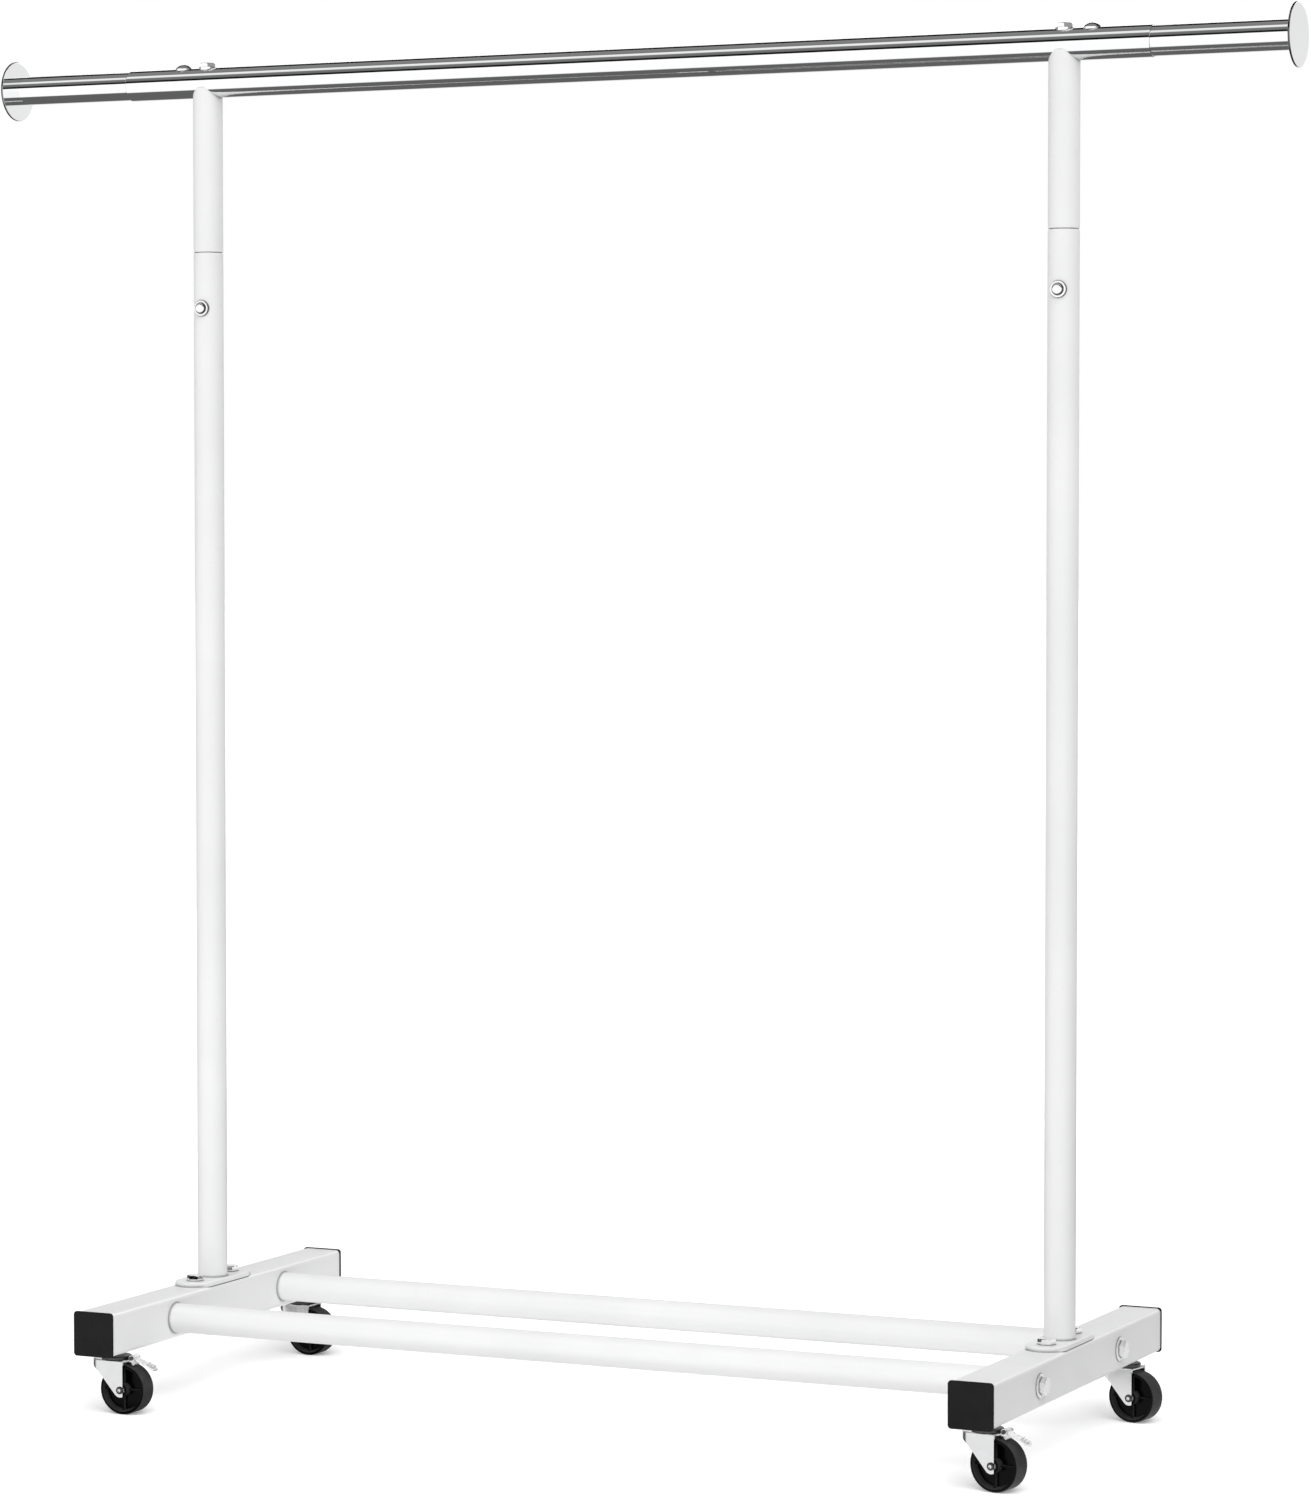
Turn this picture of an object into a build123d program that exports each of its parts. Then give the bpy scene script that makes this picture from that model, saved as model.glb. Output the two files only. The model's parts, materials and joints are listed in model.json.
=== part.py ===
from build123d import *
import math
import os

# Rolling clothes rack: two wheeled square-tube legs, two round posts made in
# two lengths, two crossbars between the legs, and a hanging tube across the
# posts with a telescoping extension rod at each end.
#
# Millimetres. X runs along the hanging tube, Y is the depth, Z is up.
# The origin is on the floor, under the middle of the rack.

os.makedirs("parts", exist_ok=True)

# ---------------------------------------------------------------- overall size
post_spacing = 1042.0
leg_length = 530.0
leg_underside = 71.0
seam_height = 1306.0
hanging_axis = 1500.0
tube_half_length = 621.0
extended_reach = 776.0
extension_travel = 90.0

# ---------------------------------------------------------------- tube sections
leg_size = 48.0
leg_wall = 2.0
leg_corner = 5.0
post_radius = 17.0
post_wall = 1.5
crossbar_radius = 16.5
crossbar_wall = 1.5
hanging_radius = 17.2
hanging_wall = 1.0
slide_clearance = 0.08
extension_wall = 1.2

# ---------------------------------------------------------------- frame details
cap_size = 50.0
cap_corner = 4.0
cap_thickness = 2.5
cap_insert_depth = 18.0
cap_insert_wall = 2.2
cap_insert_gap = 0.2
cap_edge_round = 0.8
crossbar_offset = 125.0
plug_length = 30.0
flange_width = 46.0
flange_length = 126.0
flange_thickness = 5.0
flange_bolt_offset = 40.0
spigot_wall = 2.0
spigot_below_seam = 110.0
spigot_above_seam = 90.0
seam_round = 1.3
seam_gap = 0.6
joint_screw_drop = 64.0
saddle_ear_drop = 6.0
saddle_gap = 0.05
insert_gap = 4.0
insert_length = 32.0
tube_end_round = 1.0
disc_radius = 34.2
disc_thickness = 2.5
disc_edge_round = 1.0
disc_boss_length = 12.0
lock_screw_offset = 31.0

# ---------------------------------------------------------------- fasteners
bolt_radius = 5.0
bolt_hex = 17.0
bolt_head_height = 6.4
tube_bolt_head_height = 4.7
# Degrees each hexagon head on the hanging tube is turned, counter-clockwise from above.
tube_bolt_turn = {"left": -2.0, "right": -13.0}
hole_gap = 0.25
thread_gap = 0.05
nut_height = 8.0
crossbar_washer_radius = 13.0
crossbar_washer_thickness = 2.0
crown_washer_rise = 0.8
crown_washer_radius = 9.8
lock_radius = 4.0
lock_head_radius = 10.0
lock_head_rise = 5.0
joint_screw_radius = 3.0
joint_flange_radius = 9.2
joint_dome_radius = 6.6

# ---------------------------------------------------------------- casters
caster_offset = 214.0
wheel_radius = 28.0
wheel_width = 24.0
tread_round = 2.5
rim_width = 3.4
dish_taper = 2.0
web_half = 4.0
rib_half = 8.0
rib_thickness = 1.6
trail = 13.0
fork_half_width = 16.0
fork_sheet = 2.0
fork_top = 61.0
fork_nose_centre = -12.0
fork_nose_low = 56.0
fork_knee_x = -14.0
fork_knee_z = 47.0
fork_tail = 16.5
fork_lug_radius = 8.0
axle_radius = 3.0
rivet_radius = 4.3
rivet_dimple = 1.6
bush_radius = 4.5
hub_radius = 7.5
hub_half_width = 13.5
stem_top = 94.0
collar_height = 6.0
cup_radius = 17.0
ball_radius = 1.5
ball_ring_radius = 13.0
ball_count = 12
# Degrees each wheel is turned from the +X direction at rest, clockwise from above.
swivel_rest = {
    "front_left": 0.0,
    "front_right": 10.0,
    "rear_left": 0.0,
    "rear_right": 10.0,
}

# ---------------------------------------------------------------- caster brake
brake_pivot_x = 23.0
brake_pivot_z = 63.3
brake_eye_radius = 3.2
brake_half_width = 5.0
brake_pin_radius = 1.5
brake_ear_gap = 0.4
brake_nose = 8.3
brake_nose_angle = 9.2
brake_nose_round = 2.0
pedal_tip_x = 50.5
pedal_tip_z = 51.0
pedal_sheet = 2.0
pedal_half_width = 5.2
pedal_neck = 12.0
pedal_shoulder = 18.0
pedal_tip_round = 3.0

# ---------------------------------------------------------------- derived sizes
leg_top = leg_underside + leg_size
leg_middle = leg_underside + leg_size / 2
leg_tube_half = leg_length / 2 - cap_thickness
post_x = post_spacing / 2
leg_inner_face = post_x - leg_size / 2
leg_outer_face = post_x + leg_size / 2
flange_top = leg_top + flange_thickness
post_bore = post_radius - post_wall
hanging_bore = hanging_radius - hanging_wall
extension_radius = hanging_bore - slide_clearance
extension_bore = extension_radius - extension_wall
tube_crown = hanging_axis + hanging_radius
lock_x = post_x + lock_screw_offset
slot_half_width = bolt_radius + 0.3
sides = {"left": -1, "right": 1}
ends = {"front": -1, "rear": 1}


def upright(radius, low, high):
    """Vertical cylinder between two heights."""
    return Pos(0, 0, (low + high) / 2) * Cylinder(radius, high - low)


def along_x(radius, low, high):
    """Cylinder along X between two positions."""
    return Pos((low + high) / 2, 0, 0) * Rot(0, 90, 0) * Cylinder(radius, high - low)


def along_y(radius, low, high):
    """Cylinder along Y between two positions."""
    return Pos(0, (low + high) / 2, 0) * Rot(90, 0, 0) * Cylinder(radius, high - low)


def hex_head(across_flats, height):
    """Hexagon bolt head on the XY plane, its top corners turned off."""
    corner = across_flats / math.sqrt(3)
    rim = 0.475 * across_flats
    drop = (corner - rim) * math.tan(math.radians(30))
    blank = Polygon(
        (0, 0), (corner, 0), (corner, height - drop), (rim, height), (0, height), align=None
    )
    return extrude(RegularPolygon(corner, 6), height) & revolve(Plane.XZ * blank, Axis.Z)


def hex_nut(across_flats, height, bore):
    """Hexagon nut on the XY plane."""
    return hex_head(across_flats, height) - upright(bore, -1, height + 1)


def save(name, *solids):
    """Write one node, which is a group where it has several solids."""
    pieces = [piece for solid in solids for piece in solid.solids()]
    shape = pieces[0] if len(pieces) == 1 else Compound(children=pieces)
    export_step(shape, f"parts/{name}.step")


# ---------------------------------------------------------------- legs and caps
def square_bar(size, corner, low, high):
    """Square section with rounded corners along Y, centred on the leg's axis."""
    section = Plane.XZ * RectangleRounded(size, size, corner)
    return Pos(0, high, leg_middle) * extrude(section, high - low)


def leg():
    outer = square_bar(leg_size, leg_corner, -leg_tube_half, leg_tube_half)
    inner_size = leg_size - 2 * leg_wall
    inner = square_bar(inner_size, leg_corner - leg_wall, -leg_tube_half - 1, leg_tube_half + 1)
    tube = outer - inner
    hole = bolt_radius + hole_gap
    for end in ends.values():
        tube -= Pos(0, end * flange_bolt_offset, 0) * upright(hole, leg_middle, leg_top + 1)
        tube -= Pos(0, end * caster_offset, 0) * upright(hole, leg_underside - 1, leg_middle)
        tube -= Pos(0, end * crossbar_offset, leg_middle) * along_x(hole, -leg_size, leg_size)
    return tube


def leg_cap():
    """Cap for the +Y end: a face plate with a slight lip, and a hollow plug."""
    insert_size = leg_size - 2 * leg_wall - 2 * cap_insert_gap
    start = leg_tube_half - cap_insert_depth
    face = square_bar(cap_size, cap_corner, leg_tube_half, leg_tube_half + cap_thickness)
    face = fillet(face.faces().sort_by(Axis.Y)[-1].edges(), cap_edge_round)
    plug = square_bar(insert_size, leg_corner - leg_wall, start, leg_tube_half)
    core = square_bar(insert_size - 2 * cap_insert_wall, 1.0, start - 1, leg_tube_half)
    return face + (plug - core)


# ---------------------------------------------------------------- crossbars
def crossbar():
    reach = leg_inner_face
    return along_x(crossbar_radius, -reach, reach) - along_x(
        crossbar_radius - crossbar_wall, -reach - 1, reach + 1
    )


def crossbar_plug():
    """Threaded plug welded in the +X end of a crossbar."""
    start = leg_inner_face - plug_length
    body = along_x(crossbar_radius - crossbar_wall, start, leg_inner_face)
    return body - along_x(bolt_radius + thread_gap, start - 1, leg_inner_face + 1)


def crossbar_washer():
    """Wide washer on the leg's outer face."""
    start = leg_outer_face
    ring = along_x(crossbar_washer_radius, start, start + crossbar_washer_thickness)
    ring = chamfer(ring.faces().sort_by(Axis.X)[-1].edges(), 0.4)
    return ring - along_x(bolt_radius + hole_gap, start - 1, start + 9)


def crossbar_bolt():
    """Bolt from the leg's outer face, through the leg, into the crossbar plug."""
    seat = leg_outer_face + crossbar_washer_thickness
    head = Pos(seat, 0, 0) * Rot(0, 90, 0) * hex_head(bolt_hex, bolt_head_height)
    shank = along_x(bolt_radius, leg_inner_face - plug_length + 4, seat)
    return head + shank


# ---------------------------------------------------------------- lower posts
def flange_plate():
    plate = extrude(Rot(0, 0, 90) * SlotOverall(flange_length, flange_width), flange_thickness)
    plate = fillet(plate.faces().sort_by(Axis.Z)[-1].edges(), 1.2)
    plate = Pos(0, 0, leg_top) * plate
    for end in ends.values():
        hole = upright(bolt_radius + hole_gap, leg_top - 1, flange_top + 1)
        plate -= Pos(0, end * flange_bolt_offset, 0) * hole
    return plate


def flange_bolt():
    head = Pos(0, 0, flange_top) * Rot(0, 0, 15) * hex_head(bolt_hex, bolt_head_height)
    return head + upright(bolt_radius, leg_top - leg_wall - nut_height - 3, flange_top)


def flange_nut():
    """Nut welded inside the leg, under its top wall."""
    low = leg_top - leg_wall - nut_height
    return Pos(0, 0, low) * hex_nut(bolt_hex, nut_height, bolt_radius + thread_gap)


def lower_post():
    screw_z = seam_height - joint_screw_drop
    tube = upright(post_radius, flange_top, seam_height - seam_gap / 2)
    tube = fillet(tube.faces().sort_by(Axis.Z)[-1].edges(), seam_round)
    tube -= upright(post_bore, flange_top - 1, seam_height + 1)
    return tube - Pos(0, 0, screw_z) * along_y(joint_screw_radius + hole_gap, -post_radius - 1, 0)


# ---------------------------------------------------------------- upper posts
def upper_post():
    """Tube with its top cut to a saddle that the hanging tube lies in."""
    top = hanging_axis - saddle_ear_drop
    tube = upright(post_radius, seam_height + seam_gap / 2, top)
    tube = fillet(tube.faces().sort_by(Axis.Z)[0].edges(), seam_round)
    tube -= upright(post_bore, seam_height - 1, top + 1)
    saddle = along_x(hanging_radius + saddle_gap, -2 * post_radius, 2 * post_radius)
    return tube - Pos(0, 0, hanging_axis) * saddle


def post_spigot():
    """Sleeve fixed in the upper post, which the lower post slides over."""
    low = seam_height - spigot_below_seam
    high = seam_height + spigot_above_seam
    outside = post_bore - thread_gap
    sleeve = upright(outside, low, high)
    sleeve = chamfer(sleeve.faces().sort_by(Axis.Z)[0].edges(), 1.0)
    sleeve -= upright(outside - spigot_wall, low - 1, high + 1)
    screw_z = seam_height - joint_screw_drop
    hole = Pos(0, 0, screw_z) * along_y(joint_screw_radius + hole_gap, -post_radius, 0)
    return sleeve - hole


def joint_screw():
    """Washer-headed dome screw in the front of the post, below the seam."""
    screw_z = seam_height - joint_screw_drop
    rim = -post_radius - 1.4
    flange = along_y(joint_flange_radius, rim, -post_radius + 3.2)
    flange = fillet(flange.faces().sort_by(Axis.Y)[0].edges(), 0.7)
    flange -= Cylinder(post_radius, 4 * post_radius)
    dome = along_y(joint_dome_radius, rim - 3.2, rim)
    dome = fillet(dome.faces().sort_by(Axis.Y)[0].edges(), 2.9)
    shank = along_y(joint_screw_radius, rim, -post_radius + 16)
    return Pos(0, 0, screw_z) * (flange + dome + shank)


def joint_rivet_nut():
    """Threaded insert in the spigot's front wall."""
    screw_z = seam_height - joint_screw_drop
    wall = post_bore - thread_gap - spigot_wall
    body = along_y(joint_screw_radius + 1.8, -wall + 0.4, -wall + 9)
    body -= along_y(joint_screw_radius + thread_gap, -wall - 1, -wall + 12)
    return Pos(0, 0, screw_z) * (body & Cylinder(wall, 4 * post_radius))


def post_top_insert():
    """Threaded block inside the post's top, below the hanging tube."""
    high = hanging_axis - hanging_radius - insert_gap
    low = high - insert_length
    block = upright(post_bore, low, high)
    return block - upright(bolt_radius + thread_gap, low - 1, high + 1)


# ---------------------------------------------------------------- hanging tube
def hanging_tube():
    tube = along_x(hanging_radius, -tube_half_length, tube_half_length)
    for end in (0, -1):
        tube = fillet(tube.faces().sort_by(Axis.X)[end].edges(), tube_end_round)
    tube -= along_x(hanging_bore, -tube_half_length - 1, tube_half_length + 1)
    for side in sides.values():
        tube -= Pos(side * post_x, 0, 0) * Cylinder(bolt_radius + hole_gap, 3 * hanging_radius)
        tube -= Pos(side * lock_x, 0, 0) * upright(lock_radius + hole_gap, 0, 2 * hanging_radius)
    return Pos(0, 0, hanging_axis) * tube


def tube_bolt():
    """Bolt down through the hanging tube into the post's threaded block."""
    seat = tube_crown + crown_washer_rise
    head = Pos(0, 0, seat) * hex_head(bolt_hex, tube_bolt_head_height)
    low = hanging_axis - hanging_radius - insert_gap - insert_length + 3
    return head + upright(bolt_radius, low, seat)


def crown_washer():
    """Washer with a flat top and a hollow underside that fits the tube."""
    ring = upright(crown_washer_radius, tube_crown - 2.6, tube_crown + crown_washer_rise)
    ring -= upright(bolt_radius + hole_gap, tube_crown - 9, tube_crown + 9)
    return ring - Pos(0, 0, hanging_axis) * along_x(hanging_radius, -30, 30)


# ---------------------------------------------------------------- extension rods
def rod_slot(reach):
    """Cutter from the post bolt outwards, leaving room for the full travel."""
    start = post_x + slot_half_width - bolt_radius - 0.4
    end = reach - slot_half_width
    shape = SlotCenterToCenter(end - start, 2 * slot_half_width)
    return Pos((start + end) / 2, 0, 0) * extrude(shape, extension_radius + 1)


def extension_rod():
    """Extension for the +X end, with one slot above and a shorter one below."""
    start = post_x - 25
    rod = along_x(extension_radius, start, extended_reach)
    rod -= along_x(extension_bore, start - 1, extended_reach + 1)
    upper_reach = lock_x + lock_radius + 0.4 + extension_travel
    lower_reach = post_x + bolt_radius + 0.4 + extension_travel
    rod -= rod_slot(upper_reach)
    rod -= Rot(180, 0, 0) * rod_slot(lower_reach)
    return Pos(0, 0, hanging_axis) * rod


def end_disc():
    """Stop disc for the +X end, with a boss pressed into the rod."""
    disc = along_x(disc_radius, extended_reach, extended_reach + disc_thickness)
    for end in (0, -1):
        disc = fillet(disc.faces().sort_by(Axis.X)[end].edges(), disc_edge_round)
    boss = along_x(extension_bore - thread_gap, extended_reach - disc_boss_length, extended_reach)
    boss -= along_x(extension_bore - 4, extended_reach - disc_boss_length - 1, extended_reach - 2)
    return Pos(0, 0, hanging_axis) * (disc + boss)


def lock_screw():
    """Domed screw that clamps the extension rod, outboard of the post."""
    rise = lock_head_rise
    ball = (lock_head_radius**2 + rise**2) / (2 * rise)
    cap = Pos(0, 0, tube_crown + rise - ball) * Sphere(ball)
    cap &= upright(lock_head_radius, tube_crown, tube_crown + rise)
    skirt = upright(lock_head_radius, tube_crown - 2.4, tube_crown)
    skirt -= Pos(0, 0, hanging_axis) * along_x(hanging_radius, -30, 30)
    shank = upright(lock_radius, tube_crown - 16, tube_crown)
    return cap + skirt + shank


def lock_nut():
    """Curved clamping nut inside the extension rod."""
    high = extension_bore - 0.3
    bar = Pos(0, 0, high - 5) * Box(24, 16, 12)
    bar &= along_x(high, -20, 20)
    bar -= upright(lock_radius + thread_gap, 0, extension_radius)
    return Pos(0, 0, hanging_axis) * bar


# ---------------------------------------------------------------- casters
# Each caster is drawn with its swivel axis on Z and its wheel towards +X, then
# turned to its rest angle and moved under its leg.
def tangent_point(x, z, turn):
    """Where the line from (x, z) touches the fork's lug; turn is 1 or -1."""
    dx = trail - x
    dz = wheel_radius - z
    distance = math.hypot(dx, dz)
    reach = math.sqrt(distance**2 - fork_lug_radius**2)
    angle = math.atan2(dz, dx) + turn * math.asin(fork_lug_radius / distance)
    return (x + reach * math.cos(angle), z + reach * math.sin(angle))


def fork_profile():
    """Side view of the fork: a slanted leading edge and a round lug."""
    nose = fork_nose_centre - fork_half_width - 1
    knee = (fork_knee_x, fork_knee_z)
    leading = tangent_point(*knee, -1)
    trailing = tangent_point(fork_tail, fork_top, 1)
    outline = Polygon(
        (nose, fork_top + 1), (nose, fork_nose_low), knee, leading, (trail, wheel_radius), trailing,
        (fork_tail, fork_top), (fork_tail, fork_top + 1), align=None,
    )
    lug = Pos(trail, wheel_radius) * Circle(fork_lug_radius)
    return Plane.XZ * (outline + lug)


def fork_plan(half_width):
    """Plan view: round at the nose, open at the tail."""
    nose = Pos(fork_nose_centre, 0) * Circle(half_width)
    length = fork_tail - fork_nose_centre
    body = Pos(fork_nose_centre + length / 2, 0) * Rectangle(length, 2 * half_width)
    return nose + body


def fork(with_brake):
    low = wheel_radius - fork_lug_radius - 1
    shell = Pos(0, 0, low) * extrude(fork_plan(fork_half_width), fork_top - low)
    shell = fillet(shell.faces().sort_by(Axis.Z)[-1].edges(), 1.4)
    inside = fork_half_width - fork_sheet
    hollow = Pos(0, 0, low - 1) * extrude(fork_plan(inside), fork_top - fork_sheet - low + 1)
    room = fork_tail - trail + 20
    hollow += Pos(fork_tail, 0, (low + fork_top - fork_sheet) / 2 - 0.5) * Box(
        room, 2 * inside, fork_top - fork_sheet - low + 1
    )
    body = shell - hollow
    body &= Pos(0, 2 * fork_half_width, 0) * extrude(fork_profile(), 4 * fork_half_width)
    body -= upright(bolt_radius + 0.08, fork_top - 10, fork_top + 10)
    body -= Pos(trail, 0, wheel_radius) * along_y(axle_radius + 0.1, -40, 40)
    if with_brake:
        body += brake_ear(1) + brake_ear(-1)
    return body


def brake_ear(side):
    """Prong of the fork's top plate that carries one end of the brake pin."""
    inner = brake_half_width + brake_ear_gap
    start = fork_tail - 3
    prong = Pos((start + brake_pivot_x) / 2, 0, fork_top - 1) * Box(
        brake_pivot_x - start, fork_sheet, fork_sheet
    )
    web = Pos(brake_pivot_x, 0, (fork_top - fork_sheet + brake_pivot_z) / 2) * Box(
        2 * brake_eye_radius, fork_sheet, brake_pivot_z - fork_top + fork_sheet
    )
    eye = Pos(brake_pivot_x, 0, brake_pivot_z) * along_y(brake_eye_radius, -1, 1)
    ear = prong + web + eye
    ear -= Pos(brake_pivot_x, 0, brake_pivot_z) * along_y(brake_pin_radius + 0.05, -3, 3)
    return Pos(0, side * (inner + fork_sheet / 2), 0) * ear


def brake_pin():
    """Pin through both ears, with a low head at each end."""
    reach = brake_half_width + brake_ear_gap + fork_sheet + 0.1
    pin = along_y(brake_pin_radius, -reach, reach)
    for side in (-1, 1):
        low, high = sorted((side * reach, side * (reach + 1)))
        pin += along_y(brake_pin_radius + 0.9, low, high)
    return Pos(brake_pivot_x, 0, brake_pivot_z) * pin


def brake_lever():
    """Foot lever: an eye on the pin, a nose above the tread and a pedal."""
    nose_turn = math.radians(brake_nose_angle)
    reach = brake_nose - brake_nose_round
    nose_x = brake_pivot_x + reach * math.sin(nose_turn)
    nose_z = brake_pivot_z - reach * math.cos(nose_turn)
    eye = Pos(brake_pivot_x, brake_pivot_z) * Circle(brake_eye_radius)
    tip = Pos(nose_x, nose_z) * Circle(brake_nose_round)
    arm = make_hull(eye.edges() + tip.edges())
    cam = Pos(0, brake_half_width, 0) * extrude(Plane.XZ * arm, 2 * brake_half_width)
    run = pedal_tip_x - brake_pivot_x
    drop = brake_pivot_z - pedal_tip_z
    slope = math.degrees(math.atan2(drop, run))
    length = math.hypot(run, drop)
    half = (
        (0, brake_half_width), (pedal_neck, brake_half_width),
        (pedal_shoulder, pedal_half_width), (length, pedal_half_width),
    )
    plan = Polygon(*half, *[(x, -y) for x, y in reversed(half)], align=None)
    plate = extrude(plan, pedal_sheet)
    tips = plate.edges().filter_by(Axis.Z).sort_by(Axis.X)[-2:]
    plate = fillet(tips, pedal_tip_round)
    lift = brake_eye_radius - pedal_sheet
    plate = Pos(0, 0, lift) * plate
    for rib in range(3):
        place = length - 4 - 3.5 * rib
        plate += Pos(place, 0, lift + pedal_sheet) * Box(1.4, 1.4 * pedal_half_width, 1.2)
    plate = Pos(brake_pivot_x, 0, brake_pivot_z) * Rot(0, slope, 0) * plate
    lever = cam + plate
    bore = along_y(brake_pin_radius + 0.08, -30, 30)
    return lever - Pos(brake_pivot_x, 0, brake_pivot_z) * bore


def wheel():
    """One-piece wheel with dished sides, four low ribs and a bored hub."""
    half = wheel_width / 2
    inner = wheel_radius - rim_width
    body = along_y(wheel_radius, -half, half)
    body = fillet(body.edges().filter_by(GeomType.CIRCLE), tread_round)
    for side in (-1, 1):
        dish = Pos(0, side * (half + web_half) / 2, 0) * Rot(-90 * side, 0, 0) * Cone(
            inner - dish_taper, inner, half - web_half
        )
        body -= dish
    body += along_y(hub_radius, -hub_half_width, hub_half_width)
    root, tip = hub_radius - 1, inner + 1
    for step in range(4):
        rib = Pos(0, 0, (root + tip) / 2) * Box(rib_thickness, 2 * rib_half, tip - root)
        body += Rot(0, 90 * step, 0) * rib
    body -= along_y(bush_radius, -20, 20)
    return Pos(trail, 0, wheel_radius) * body


def wheel_bush():
    reach = hub_half_width
    bush = along_y(bush_radius, -reach, reach) - along_y(axle_radius + 0.08, -20, 20)
    return Pos(trail, 0, wheel_radius) * bush


def axle():
    """Riveted axle: a shank and a domed head at each side of the fork."""
    pin = along_y(axle_radius, -fork_half_width, fork_half_width)
    for side in (-1, 1):
        low, high = sorted((side * fork_half_width, side * (fork_half_width + 1.8)))
        head = along_y(rivet_radius, low, high)
        head = fillet(head.faces().sort_by(Axis.Y)[0 if side < 0 else -1].edges(), 1.2)
        low, high = sorted((side * (fork_half_width + 0.8), side * (fork_half_width + 3)))
        pin += head - along_y(rivet_dimple, low, high)
    return Pos(trail, 0, wheel_radius) * pin


def caster_stem():
    """Threaded stem with a hexagon collar and a riveted foot under the fork."""
    foot_top = fork_top - fork_sheet - 0.15
    stem = upright(bolt_radius, foot_top - 2.2, stem_top)
    stem = chamfer(stem.faces().sort_by(Axis.Z)[-1].edges(), 1.0)
    stem += upright(bolt_radius + 1.2, foot_top - 2.2, foot_top)
    collar = Pos(0, 0, leg_underside - collar_height) * hex_head(bolt_hex, collar_height)
    return stem + collar


def caster_nut():
    """Nut welded on the leg's bottom wall, which the stem screws into."""
    low = leg_underside + leg_wall
    return Pos(0, 0, low) * hex_nut(bolt_hex, nut_height + 2, bolt_radius + thread_gap)


def bearing_cup():
    """Upper race of the swivel bearing, under the hexagon collar."""
    high = leg_underside - collar_height
    low = fork_top + 0.4
    cup = upright(cup_radius, low, high)
    cup = fillet(cup.faces().sort_by(Axis.Z)[-1].edges(), 1.6)
    cup -= upright(bolt_radius + thread_gap, low - 1, high + 1)
    return cup - Pos(0, 0, fork_top + 0.1 + ball_radius) * Torus(ball_ring_radius, ball_radius + 0.1)


def bearing_balls():
    balls = []
    for step in range(ball_count):
        angle = 2 * math.pi * step / ball_count
        x = ball_ring_radius * math.cos(angle)
        y = ball_ring_radius * math.sin(angle)
        balls.append(Pos(x, y, fork_top + 0.1 + ball_radius) * Sphere(ball_radius))
    return balls


# ---------------------------------------------------------------- write the nodes
def mirrored(shape):
    """The same piece on the -X side."""
    return mirror(shape, Plane.YZ)


corners = [(end, side) for end in ends for side in sides]
caster_places = {
    f"{end}_{side}": Location(
        (sides[side] * post_x, ends[end] * caster_offset, 0),
        (0, 0, -swivel_rest[f"{end}_{side}"]),
    )
    for end, side in corners
}


def at_corners(shape, offset):
    """Copies of a piece at both ends of both legs."""
    return [
        Pos(sides[side] * post_x, ends[end] * offset, 0) * shape for end, side in corners
    ]


def at_crossbar_ends(shape):
    """Copies of a +X end piece at all four crossbar ends."""
    copies = []
    for end in ends.values():
        place = Pos(0, end * crossbar_offset, leg_middle)
        copies.append(place * shape)
        copies.append(place * mirrored(shape))
    return copies


for side, sign in sides.items():
    at_post = Pos(sign * post_x, 0, 0)
    save(f"leg_{side}", at_post * leg())
    save(f"flange_plate_{side}", at_post * flange_plate())
    save(f"lower_post_{side}", at_post * lower_post())
    save(f"upper_post_{side}", at_post * upper_post())
    save(f"post_spigot_{side}", at_post * post_spigot())
    for end in ends:
        turn = Rot(0, 0, 0 if end == "rear" else 180)
        save(f"leg_cap_{end}_{side}", at_post * turn * leg_cap())

for end, sign in ends.items():
    save(f"crossbar_{end}", Pos(0, sign * crossbar_offset, leg_middle) * crossbar())
save("crossbar_plugs", *at_crossbar_ends(crossbar_plug()))
save("crossbar_washers", *at_crossbar_ends(crossbar_washer()))
save("crossbar_bolts", *at_crossbar_ends(crossbar_bolt()))
save("flange_bolts", *at_corners(flange_bolt(), flange_bolt_offset))
save("flange_nuts", *at_corners(flange_nut(), flange_bolt_offset))

both_posts = [Pos(sign * post_x, 0, 0) for sign in sides.values()]
both_locks = [Pos(sign * lock_x, 0, 0) for sign in sides.values()]
save("joint_screws", *[place * joint_screw() for place in both_posts])
save("joint_rivet_nuts", *[place * joint_rivet_nut() for place in both_posts])
save("post_top_inserts", *[place * post_top_insert() for place in both_posts])
save("hanging_tube", hanging_tube())
turns = [Rot(0, 0, tube_bolt_turn[side]) for side in sides]
save("hanging_tube_bolts", *[place * turn * tube_bolt() for place, turn in zip(both_posts, turns)])
save("hanging_tube_washers", *[place * crown_washer() for place in both_posts])
save("extension_lock_screws", *[place * lock_screw() for place in both_locks])
save("extension_lock_nuts", *[place * lock_nut() for place in both_locks])
save("extension_rod_right", extension_rod())
save("extension_rod_left", mirrored(extension_rod()))
save("end_disc_right", end_disc())
save("end_disc_left", mirrored(end_disc()))

save("caster_nuts", *at_corners(caster_nut(), caster_offset))
balls = []
for name, place in caster_places.items():
    braked = name.startswith("front")
    save(f"bearing_cup_{name}", place * bearing_cup())
    save(f"fork_{name}", place * fork(braked))
    save(f"axle_{name}", place * axle())
    save(f"wheel_{name}", place * wheel())
    save(f"wheel_bush_{name}", place * wheel_bush())
    balls += [place * ball for ball in bearing_balls()]
    if braked:
        save(f"brake_lever_{name}", place * brake_lever())
        save(f"brake_pin_{name}", place * brake_pin())
save("bearing_balls", *balls)
save("caster_stems", *[place * caster_stem() for place in caster_places.values()])
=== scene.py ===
import json
import math

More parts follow.
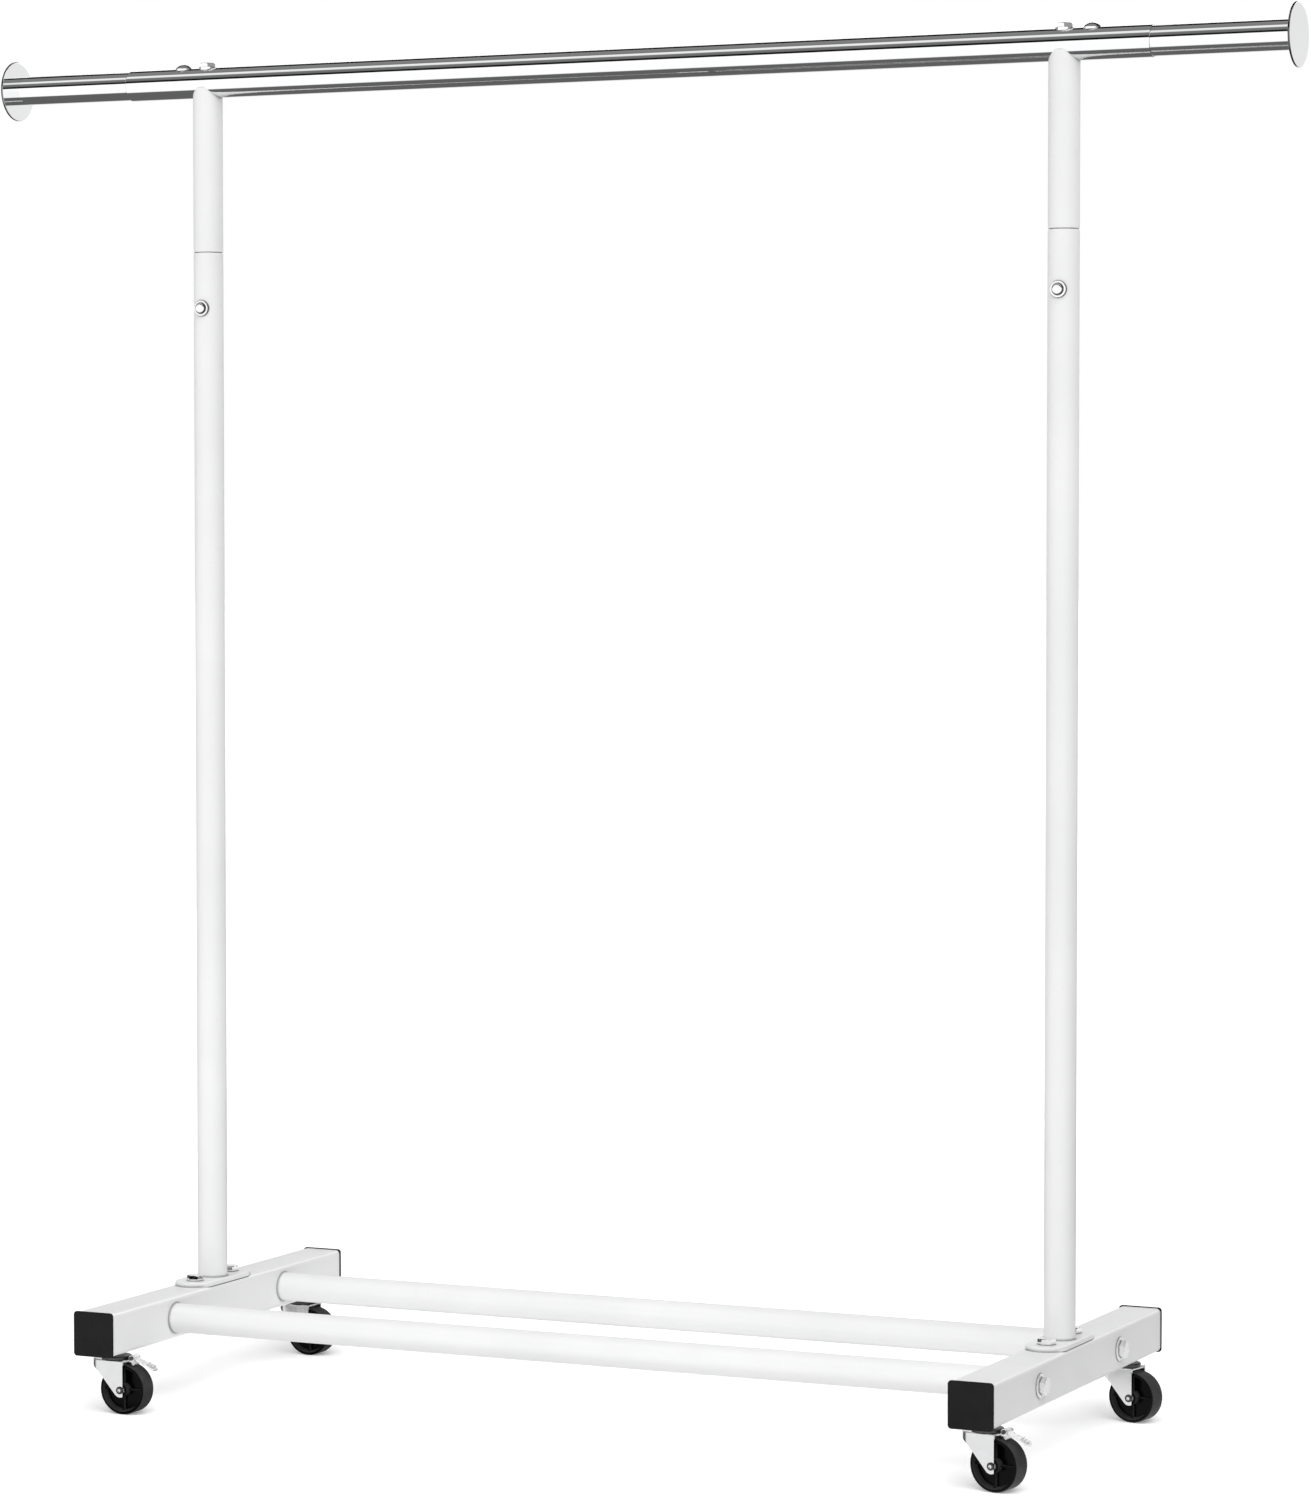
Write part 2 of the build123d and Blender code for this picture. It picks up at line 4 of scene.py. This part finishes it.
import bmesh
import bpy
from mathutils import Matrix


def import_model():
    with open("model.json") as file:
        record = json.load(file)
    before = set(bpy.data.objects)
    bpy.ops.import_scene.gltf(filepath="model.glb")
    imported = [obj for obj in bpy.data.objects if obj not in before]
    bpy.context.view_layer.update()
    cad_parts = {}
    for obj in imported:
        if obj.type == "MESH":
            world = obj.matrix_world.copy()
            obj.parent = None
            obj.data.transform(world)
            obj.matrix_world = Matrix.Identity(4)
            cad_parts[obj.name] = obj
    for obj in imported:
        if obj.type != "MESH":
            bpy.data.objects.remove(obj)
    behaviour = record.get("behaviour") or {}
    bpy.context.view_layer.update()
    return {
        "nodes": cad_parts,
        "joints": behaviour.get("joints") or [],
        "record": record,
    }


# The looks of a rolling clothes rack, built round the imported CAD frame. Metres and degrees.
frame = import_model()
nodes = frame["nodes"]
scene = bpy.context.scene
scene.view_settings.view_transform = "Standard"

# ------------------------------------------------------------------ camera
CAMERA_PLACE = (2.2736, -4.8211, 0.9862)
CAMERA_PITCH = 87.4
CAMERA_TURN = 24.81
LENS_MM = 115.46

# ------------------------------------------------------------------ studio
SKY_STRENGTH = 0.55
SKY_SLOPE = 0.5         # share by which the sky is brighter at the left and darker at the right
FLOOR_HALF = 60.0
FLOOR_LIFT = 0.22
NEAR_FLOOR = 0.93       # what mirrors close to the floor see in it
FRONT_FLOOR = 1.08      # what mirrors high up see in it, by place
UNDER_FLOOR = 0.12
REAR_FLOOR = 0.78
STRIP_GREY = 0.10
WALL_GREY = 0.34
BOUNCE = 1.14           # floor light on the paint, and how much is lost beside the right leg
BOUNCE_DIP = -0.66
KEY_AZIMUTH = 36.0
KEY_ELEVATION = 50.0
KEY_STRENGTH = 1.75
KEY_SPREAD = 50.0
# Brightness that mirrors see, by the angle from straight ahead over the top to the rear.
STUDIO_RING = (
    (-180, 0.84), (-90, 0.84), (-88, 1.14), (19, 1.14), (21, 0.005), (33, 0.005), (36, 0.16),
    (56, 0.20), (59, 0.85), (74.5, 0.95), (78, 0.20), (116, 0.25), (121, 0.01),
    (160, 0.02), (164, 0.84), (180, 0.84),
)
# Azimuths, from straight ahead, where each dark side of the studio fades in and out.
RIGHT_SIDE = ((55.0, 68.0), (150.0, 142.0))
LEFT_SIDE = ((-80.0, -90.0), (-150.0, -142.0))
# Depths where each dark strip on the floor near the rack fades in and out.
DARK_STRIPS = (((-0.30, -0.24), (-0.02, -0.07)), ((0.12, 0.17), (0.62, 0.50)))
# Upright card behind the rack: left, right, depth, bottom, top and strength.
HIGH_CARD = (-2.6, 2.6, 3.0, 2.0, 2.8, 2.4)


# ------------------------------------------------------------------ node helpers
class Shader:
    """A material or world node tree with short calls for the nodes used here."""

    def __init__(self, tree):
        self.tree = tree
        tree.nodes.clear()

    def add(self, kind, inputs=None, **settings):
        node = self.tree.nodes.new(kind)
        for key, value in settings.items():
            setattr(node, key, value)
        for key, value in (inputs or {}).items():
            self.put(node.inputs[key], value)
        return node

    def put(self, socket, value):
        if isinstance(value, bpy.types.NodeSocket):
            self.tree.links.new(value, socket)
        else:
            socket.default_value = value

    def math(self, operation, *values):
        node = self.add("ShaderNodeMath", operation=operation)
        for socket, value in zip(node.inputs, values):
            self.put(socket, value)
        return node.outputs[0]

    def product(self, *values):
        result = values[0]
        for value in values[1:]:
            result = self.math("MULTIPLY", result, value)
        return result

    def vector(self, operation, *values):
        node = self.add("ShaderNodeVectorMath", operation=operation)
        for socket, value in zip(node.inputs, values):
            self.put(socket, value)
        return node

    def parts(self, vector):
        """The X, Y and Z of a vector."""
        split = self.add("ShaderNodeSeparateXYZ", {"Vector": vector})
        return [split.outputs[axis] for axis in "XYZ"]

    def range(self, value, low, high, to_low=0.0, to_high=1.0):
        """Smooth step of value from to_low at low to to_high at high."""
        return self.add(
            "ShaderNodeMapRange",
            {"Value": value, "From Min": low, "From Max": high, "To Min": to_low, "To Max": to_high},
            interpolation_type="SMOOTHSTEP",
        ).outputs["Result"]

    def place(self, scale=(1, 1, 1)):
        """Object coordinates, stretched by scale."""
        coordinates = self.add("ShaderNodeTexCoord").outputs["Object"]
        mapping = self.add("ShaderNodeMapping", {"Vector": coordinates})
        mapping.inputs["Scale"].default_value = scale
        return mapping.outputs["Vector"]

    def normal(self):
        return self.add("ShaderNodeTexCoord").outputs["Normal"]

    def facing(self, axis):
        """How squarely the surface faces the X, Y or Z axis, either way, from 0 to 1."""
        return self.math("ABSOLUTE", self.parts(self.normal())["XYZ".index(axis)])

    def noise(self, scale, detail=3.0, rough=0.5, stretch=(1, 1, 1)):
        return self.add(
            "ShaderNodeTexNoise",
            {"Vector": self.place(stretch), "Scale": scale, "Detail": detail, "Roughness": rough},
        ).outputs["Fac"]

    def openness(self, reach):
        """Falls below 1 where another surface stands within reach."""
        node = self.add("ShaderNodeAmbientOcclusion", {"Distance": reach}, samples=8)
        return node.outputs["AO"]

    def tones(self, value, dark, light):
        """Colour ramp over the middle of a noise; a plain number means that grey."""
        node = self.add("ShaderNodeValToRGB", {"Fac": value})
        for element, position, colour in zip(node.color_ramp.elements, (0.3, 0.7), (dark, light)):
            element.position = position
            element.color = rgba(colour)
        return node.outputs["Color"]

    def mix(self, share, first, second):
        node = self.add("ShaderNodeMix", data_type="RGBA")
        self.put(node.inputs["Factor"], share)
        colour_inputs = [socket for socket in node.inputs if socket.type == "RGBA"]
        for socket, value in zip(colour_inputs, (first, second)):
            self.put(socket, value if isinstance(value, bpy.types.NodeSocket) else rgba(value))
        return next(socket for socket in node.outputs if socket.type == "RGBA")

    def bump(self, height, strength, distance, below=None):
        inputs = {"Height": height, "Strength": strength, "Distance": distance}
        if below is not None:
            inputs["Normal"] = below
        return self.add("ShaderNodeBump", inputs).outputs["Normal"]

    def light_path(self, output):
        return self.add("ShaderNodeLightPath").outputs[output]

    def blend(self, share, first, second):
        """Mix of two closures, all second where share is 1."""
        node = self.add("ShaderNodeMixShader")
        for socket, value in zip(node.inputs, (share, first, second)):
            self.put(socket, value)
        return node.outputs[0]

    def finish(self, closure, kind="ShaderNodeOutputMaterial"):
        self.put(self.add(kind).inputs["Surface"], closure)

    def surface(self, **inputs):
        """Principled surface wired to the output."""
        self.finish(self.add("ShaderNodeBsdfPrincipled", inputs).outputs[0])


def rgba(colour):
    """A grey level or an RGB colour as RGBA."""
    return (*colour, 1.0) if isinstance(colour, tuple) else (colour, colour, colour, 1.0)


def material(name):
    made = bpy.data.materials.new(name)
    made.use_nodes = True
    return made, Shader(made.node_tree)


# ------------------------------------------------------------------ materials
def white_paint():
    """Satin powder coat: nearly even white, with a painted highlight along the legs' long edges,
    with a fine orange-peel skin and painted shade, grey, where pieces meet."""
    made, s = material("white_powder_coat")
    tone = s.tones(s.noise(7.0), (0.83, 0.832, 0.835), (0.88, 0.881, 0.883))
    speckled = s.mix(s.range(s.noise(420.0, 2.0), 0.30, 0.24), tone, (0.78, 0.78, 0.785))
    # Painted highlight: the legs' rounded long edges, facing between X and Z, are coloured white.
    edge_highlight_mask = s.range(s.math("MINIMUM", s.facing("X"), s.facing("Z")), 0.46, 0.62)
    edge_highlighted = s.mix(edge_highlight_mask, speckled, 1.0)
    # Painted shade: grey where another surface stands within 5 mm, at joints, under heads and in
    # crevices.
    colour = s.mix(s.range(s.openness(0.005), 0.50, 0.90), (0.36, 0.36, 0.365), edge_highlighted)
    rough = s.range(s.noise(35.0, 4.0), 0.3, 0.7, 0.31, 0.40)
    peel = s.bump(s.noise(850.0, 2.0), 0.10, 0.0004)
    skin = s.bump(s.noise(160.0, 2.0), 0.06, 0.0012, peel)
    s.surface(**{"Base Color": colour, "Roughness": rough, "Normal": skin, "IOR": 1.5})
    return made


def metal(s, colour, rough, skin, metallic=1.0):
    inputs = {"Base Color": colour, "Metallic": metallic, "Roughness": rough, "Normal": skin}
    s.surface(**inputs)


def chrome(name, painted_dark_rim=False):
    """Mirror chrome on drawn tube, with faint polishing lines along it. A disc's rim gets a painted
    dark reflection.
    """
    made, s = material(name)
    lines = s.noise(900.0, 3.0, 0.6, (0.012, 1, 1))
    haze = s.noise(14.0, 4.0)
    base_rough = s.range(haze, 0.35, 0.75, 0.012, 0.030)
    rough = s.math("ADD", base_rough, s.range(lines, 0.5, 0.8, 0.0, 0.03))
    colour = s.tones(haze, (0.90, 0.905, 0.915), (0.94, 0.942, 0.948))
    if painted_dark_rim:
        # Painted dark reflection: near black round the disc's rim, where the surface turns away from
        # the X axis.
        colour = s.mix(s.range(s.facing("X"), 0.45, 0.80), (0.10, 0.10, 0.105), colour)
    metal(s, colour, rough, s.bump(lines, 0.02, 0.0002))
    return made


def plated(name, smooth, dull, metallic=1.0, contact_shade=0.16, painted_outline=False):
    """Plated heads and pressings: bright and a little uneven, with painted shade where they meet
    another piece. The outline option also paints a dark reflection round the slopes of its dome."""
    made, s = material(name)
    haze = s.noise(120.0, 4.0)
    bright = s.tones(haze, (0.88, 0.88, 0.885), (0.94, 0.94, 0.945))
    # Painted shade: the colour falls to a grey where another piece stands within 2.5 mm.
    colour = s.mix(s.range(s.openness(0.0025), 0.50, 0.85), contact_shade, bright)
    if painted_outline:
        # Painted dark reflection: near black round the dome's slopes, where the surface turns away
        # from the Y axis.
        colour = s.mix(s.range(s.facing("Y"), 0.60, 0.86), (0.14, 0.14, 0.145), colour)
    dents = s.bump(s.noise(260.0), 0.08, 0.0004)
    metal(s, colour, s.range(haze, 0.3, 0.7, smooth, dull), dents, metallic)
    return made


def zinc():
    """Bright zinc on pressed steel sheet, with a fine grain and soft blotches."""
    made, s = material("bright_zinc")
    blotch = s.noise(60.0, 5.0, 0.6)
    colour = s.tones(blotch, (0.80, 0.804, 0.812), (0.86, 0.862, 0.868))
    grain = s.bump(s.noise(2600.0, 2.0), 0.05, 0.0001)
    skin = s.bump(s.noise(220.0, 2.0), 0.04, 0.0004, grain)
    metal(s, colour, s.range(blotch, 0.3, 0.7, 0.17, 0.23), skin)
    return made


def steel(name, dark, light):
    """Plain machined steel, mostly hidden."""
    made, s = material(name)
    streak = s.noise(700.0, 3.0, 0.6, (1, 1, 0.1))
    colour = s.tones(streak, dark, light)
    metal(s, colour, s.range(streak, 0.3, 0.7, 0.28, 0.45), s.bump(streak, 0.1, 0.0003))
    return made


def rivet(name, joint):
    """Axle head: oiled dark steel round a bright punched centre."""
    made, s = material(name)
    offset = s.vector("SUBTRACT", s.place(), joint["pos_m"]).outputs[0]
    cross = s.vector("CROSS_PRODUCT", offset, joint["axis"]).outputs[0]
    radius = s.vector("LENGTH", cross).outputs["Value"]
    streak = s.noise(700.0)
    dark = s.tones(streak, (0.06, 0.06, 0.062), (0.11, 0.11, 0.112))
    colour = s.mix(s.range(radius, 0.0017, 0.0020), (0.85, 0.85, 0.86), dark)
    metal(s, colour, s.range(streak, 0.3, 0.7, 0.2, 0.3), s.bump(streak, 0.1, 0.0003))
    return made


def plastic(s, colour, rough, skin, specular):
    s.surface(**{
        "Base Color": colour, "Roughness": rough, "Normal": skin, "Specular IOR Level": specular,
    })


def black_cap():
    """Moulded black plastic with a fine spark-eroded texture."""
    made, s = material("black_cap_plastic")
    colour = s.tones(s.noise(40.0, 4.0), (0.0080, 0.0080, 0.0083), (0.0115, 0.0115, 0.0118))
    rough = s.range(s.noise(900.0, 2.0), 0.3, 0.7, 0.48, 0.62)
    plastic(s, colour, rough, s.bump(s.noise(1600.0, 3.0, 0.6), 0.25, 0.0003), 0.15)
    return made


def black_wheel(name, axis):
    """Hard black wheel of one plastic: glossy sides and a duller tread, with painted light making
    the tread a lighter grey than the sides.
    """
    made, s = material(name)
    along_axle = s.vector("DOT_PRODUCT", s.normal(), axis).outputs["Value"]
    side = s.range(s.math("ABSOLUTE", along_axle), 0.35, 0.75)
    cloud = s.noise(90.0, 4.0)
    # Painted light: the tread gets a lighter grey than the sides, which are the same plastic.
    tread = s.tones(cloud, (0.036, 0.036, 0.0365), (0.050, 0.050, 0.0505))
    dark = s.tones(cloud, (0.0014, 0.0014, 0.0016), (0.0028, 0.0028, 0.0030))
    fine = s.range(s.noise(500.0), 0.3, 0.7, 0.0, 0.08)
    rough = s.math("ADD", s.range(side, 0.0, 1.0, 0.46, 0.16), fine)
    plastic(s, s.mix(side, tread, dark), rough, s.bump(s.noise(1100.0), 0.12, 0.0003), 0.08)
    return made


# Finish by the record's material slot, and then by the start of a node's name, which wins.
BY_SLOT = {
    "white_paint": white_paint(),
    "chrome": chrome("bright_chrome"),
    "bolt_chrome": plated("plated_bolt", 0.05, 0.11),
    "zinc": zinc(),
    "raw_steel": steel("plain_steel", 0.42, 0.58),
    "bush_steel": steel("ground_steel", 0.55, 0.68),
    "black_cap": black_cap(),
}
OILED = steel("oiled_steel", 0.07, 0.12)
SATIN = plated("satin_plated", 0.26, 0.36, 0.6)
BY_NAME = {
    "bearing_cup": OILED,
    "brake_pin": OILED,
    "crossbar_bolts": SATIN,
    "crossbar_washers": SATIN,
    "brake_lever": plated("lever_plated", 0.26, 0.36, 0.6, contact_shade=0.7),
    "joint_screws": plated("plated_painted_outline", 0.10, 0.16, painted_outline=True),
    "end_disc": chrome("disc_chrome", True),
}
wheel_joints = {
    joint["child"].removeprefix("wheel_"): joint
    for joint in frame["joints"] if joint["name"].startswith("wheel_spin")
}


def finish_for(node, slot):
    if slot == "black_wheel":
        return black_wheel(f"black_{node}", wheel_joints[node.removeprefix("wheel_")]["axis"])
    if node.startswith("axle_"):
        return rivet(f"rivet_{node}", wheel_joints[node.removeprefix("axle_")])
    for start, finish in BY_NAME.items():
        if node.startswith(start):
            return finish
    return BY_SLOT[slot]


for row in frame["record"]["subparts"]:
    finish = finish_for(row["node"], row["material_slot"])
    for used in nodes[row["node"]].material_slots:
        used.material = finish
# The hanging tube would mirror this leg as one short streak in its dark underside.
nodes["leg_left"].visible_glossy = False


# ------------------------------------------------------------------ floor, lights and camera
def add_object(name, data):
    made = bpy.data.objects.new(name, data)
    scene.collection.objects.link(made)
    return made


def side_shade(s, x, y):
    """1 towards the front and rear of the studio, falling to 0 at its two dark sides."""
    radians = s.math("ARCTAN2", x, s.product(y, -1.0))
    azimuth = s.product(radians, 180.0 / math.pi)
    right, left = (
        s.product(*[s.range(azimuth, *edges) for edges in side])
        for side in (RIGHT_SIDE, LEFT_SIDE)
    )
    return s.math("SUBTRACT", 1.0, s.math("ADD", right, left))


def studio_ring(s, y, z):
    """The ring of mirror tones that runs over the rack from front to rear."""
    angle = s.math("ARCTAN2", z, s.product(y, -1.0))
    turn = s.math("ADD", s.math("DIVIDE", angle, 2.0 * math.pi), 0.5)
    ring = s.add("ShaderNodeValToRGB", {"Fac": turn})
    elements = ring.color_ramp.elements
    while len(elements) < len(STUDIO_RING):
        elements.new(0.5)
    for element, (degrees, tone) in zip(elements, STUDIO_RING):
        element.position = degrees / 360.0 + 0.5
        element.color = rgba(tone)
    return ring.outputs["Color"]


def world():
    """White to the eye, a soft sky to the paint, and a studio with grey sides to mirrors."""
    made = bpy.data.worlds.new("studio")
    made.use_nodes = True
    scene.world = made
    s = Shader(made.node_tree)
    x, y, z = s.parts(s.add("ShaderNodeTexCoord").outputs["Generated"])
    rear_right = s.product(s.range(x, 0.38, 0.52), s.range(y, 0.5, 0.75), s.range(z, 0.26, 0.22))
    ring = s.mix(rear_right, studio_ring(s, y, z), 1.0)
    dark_side = s.product(s.math("SUBTRACT", 1.0, side_shade(s, x, y)), s.range(z, 0.42, 0.30))
    walls = s.mix(dark_side, ring, WALL_GREY)
    left_sky = SKY_STRENGTH * (1.0 + SKY_SLOPE)
    right_sky = SKY_STRENGTH * (1.0 - SKY_SLOPE)
    white = rgba(1.0)
    sky, mirror, clear = (
        s.add("ShaderNodeBackground", {"Color": colour, "Strength": strength}).outputs[0]
        for colour, strength in (
            (white, s.range(x, -1.0, 1.0, left_sky, right_sky)), (walls, 1.0), (white, 1.0),
        )
    )
    lit = s.blend(s.light_path("Is Glossy Ray"), sky, mirror)
    s.finish(s.blend(s.light_path("Is Camera Ray"), lit, clear), "ShaderNodeOutputWorld")


def floor():
    """Pale floor. Mirrors high up see a white front, a dark strip beneath them and a grey rear;
    mirrors near the floor see two dark strips beside the left leg."""
    mesh = bpy.data.meshes.new("floor")
    work = bmesh.new()
    bmesh.ops.create_grid(work, x_segments=24, y_segments=24, size=FLOOR_HALF)
    work.to_mesh(mesh)
    work.free()
    made = add_object("floor", mesh)
    finish, s = material("studio_floor")
    tone = s.tones(s.noise(1.5), 0.93, 0.94)

    def glow(colour, strength):
        return s.add("ShaderNodeEmission", {"Color": colour, "Strength": strength}).outputs[0]

    matt = s.add("ShaderNodeBsdfDiffuse", {"Color": tone, "Roughness": 0.6}).outputs[0]
    pale = s.add("ShaderNodeAddShader", {0: matt, 1: glow(tone, FLOOR_LIFT)}).outputs[0]
    x, y, _ = s.parts(s.place())

    front = s.mix(side_shade(s, x, y), WALL_GREY, FRONT_FLOOR)
    under = s.mix(s.range(y, -1.25, -0.95), front, UNDER_FLOOR)
    far_tone = s.mix(s.range(y, 2.6, 3.2), under, REAR_FLOOR)
    strips = [s.product(*[s.range(y, *edges) for edges in strip]) for strip in DARK_STRIPS]
    dark_share = s.product(s.math("ADD", *strips), s.range(x, 0.48, 0.40))
    near_tone = s.mix(dark_share, NEAR_FLOOR, STRIP_GREY)
    is_far = s.range(s.light_path("Ray Length"), 0.9, 1.2)
    mirrored = glow(s.mix(is_far, near_tone, far_tone), 1.0)

    beside_leg = s.product(
        s.range(x, 0.50, 0.80), s.range(x, 1.9, 1.3), s.range(y, -0.75, -0.35)
    )
    bounce = glow(tone, s.math("ADD", s.product(beside_leg, BOUNCE_DIP), BOUNCE))
    lit = s.blend(s.light_path("Is Diffuse Ray"), pale, bounce)
    s.finish(s.blend(s.light_path("Is Glossy Ray"), lit, mirrored))
    mesh.materials.append(finish)


def key_light():
    """Very soft key from the front right, as through a large diffuser."""
    data = bpy.data.lights.new("key", "SUN")
    data.energy = KEY_STRENGTH
    data.angle = math.radians(KEY_SPREAD)
    made = add_object("key", data)
    made.rotation_euler = (math.radians(90.0 - KEY_ELEVATION), 0.0, math.radians(KEY_AZIMUTH))
    made.visible_glossy = False


def high_card():
    """Upright white card behind the rack, seen only in reflections."""
    left, right, depth, bottom, top, strength = HIGH_CARD
    mesh = bpy.data.meshes.new("high_card")
    corners = [(left, bottom), (right, bottom), (right, top), (left, top)]
    mesh.from_pydata([(x, depth, z) for x, z in corners], [], [(0, 1, 2, 3)])
    made = add_object("high_card", mesh)
    finish, s = material("high_card_glow")
    tone = s.tones(s.noise(0.8, 2.0), 0.96, 1.0)
    s.finish(s.add("ShaderNodeEmission", {"Color": tone, "Strength": strength}).outputs[0])
    mesh.materials.append(finish)
    made.visible_camera = False
    made.visible_diffuse = False
    made.visible_shadow = False


def set_camera():
    camera = add_object("camera", bpy.data.cameras.new("camera"))
    camera.location = CAMERA_PLACE
    camera.rotation_euler = (math.radians(CAMERA_PITCH), 0.0, math.radians(CAMERA_TURN))
    camera.data.sensor_width = 36.0
    camera.data.lens = LENS_MM
    camera.data.clip_end = 100.0
    scene.camera = camera


world()
floor()
key_light()
high_card()
set_camera()
